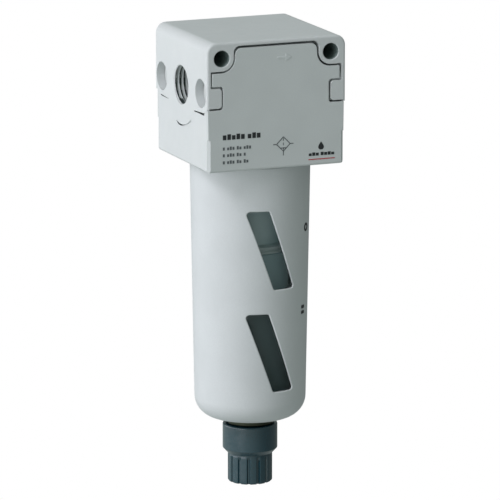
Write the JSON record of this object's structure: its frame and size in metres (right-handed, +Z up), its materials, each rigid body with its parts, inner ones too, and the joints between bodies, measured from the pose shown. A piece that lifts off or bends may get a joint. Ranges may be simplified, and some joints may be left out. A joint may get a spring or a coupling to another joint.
{
  "type": "compressed air filter",
  "caption": "Wall-mounted compressed air filter: a ported block with a bayonet bowl, guard with slanted windows, and push-and-turn drain.",
  "frame": {"origin": "on the rear mounting plane, mid-width, at the height of the port axis", "axes": "+Z up along the bowl axis, -Y towards the front cover, inlet port on -X and outlet port on +X"},
  "size_m": [0.045, 0.042, 0.1411],
  "materials": {
    "painted_alloy": "fine satin powder coat over die-cast zinc",
    "cover_plastic": "fine-grained moulded nylon",
    "guard_plastic": "fine-grained moulded nylon",
    "plug_plastic": "nylon moulded in the colour of the paint",
    "clear_plastic": "transparent polycarbonate, smoke-green tint",
    "black_plastic": "moulded glass-filled nylon, blue-black",
    "acetal": "natural acetal",
    "sintered": "sintered porous polyethylene",
    "rubber": "nitrile rubber",
    "brass": "turned brass",
    "spring_steel": "drawn stainless wire and strip"
  },
  "bodies": {
    "housing": {"head_body": "painted_alloy", "front_cover": "cover_plastic", "rear_cover": "cover_plastic", "tie_hole_plug_left_front": "plug_plastic", "tie_hole_plug_left_rear": "plug_plastic", "tie_hole_plug_right_front": "plug_plastic", "tie_hole_plug_right_rear": "plug_plastic", "centre_stem": "acetal", "swirl_deflector": "black_plastic", "element_top_gasket": "rubber"},
    "element": {"filter_element": "sintered", "element_bottom_gasket": "rubber"},
    "baffle": {"baffle": "acetal", "baffle_skirt": "black_plastic"},
    "bowl_unit": {"bowl_guard": "guard_plastic", "bowl": "clear_plastic", "bowl_o_ring": "rubber", "drain_body": "black_plastic", "drain_body_seal": "rubber", "brass_nut": "brass", "drain_collar": "black_plastic"},
    "drain_valve": {"drain_stem": "acetal", "stem_seal": "rubber", "stem_clip": "spring_steel", "drain_spring": "spring_steel"},
    "drain_knob": {"drain_knob": "black_plastic"}
  },
  "joints": [
    {"name": "bowl_turn", "type": "hinge", "parent": "housing", "child": "bowl_unit", "pos_m": [0, -0.021, -0.018], "axis": [0, 0, -1], "range_deg": [0, 45]},
    {"name": "element_drop", "type": "slide", "parent": "housing", "child": "element", "axis": [0, 0, -1], "range_m": [0, 0.004]},
    {"name": "baffle_turn", "type": "hinge", "parent": "element", "child": "baffle", "pos_m": [0, -0.021, -0.052], "axis": [0, 0, -1], "range_deg": [0, 720]},
    {"name": "drain_push", "type": "slide", "parent": "bowl_unit", "child": "drain_valve", "axis": [0, 0, 1], "range_m": [0, 0.002], "stiffness_N_per_m": 300, "springref_m": -0.0012, "deforming": ["drain_spring"]},
    {"name": "knob_turn", "type": "hinge", "parent": "drain_valve", "child": "drain_knob", "pos_m": [0, -0.021, -0.118], "axis": [0, 0, -1], "range_deg": [0, 90]}
  ],
  "couplings": [
    {"joint": "baffle_turn", "follows": "element_drop", "rad_per_m": 3141.6}
  ]
}
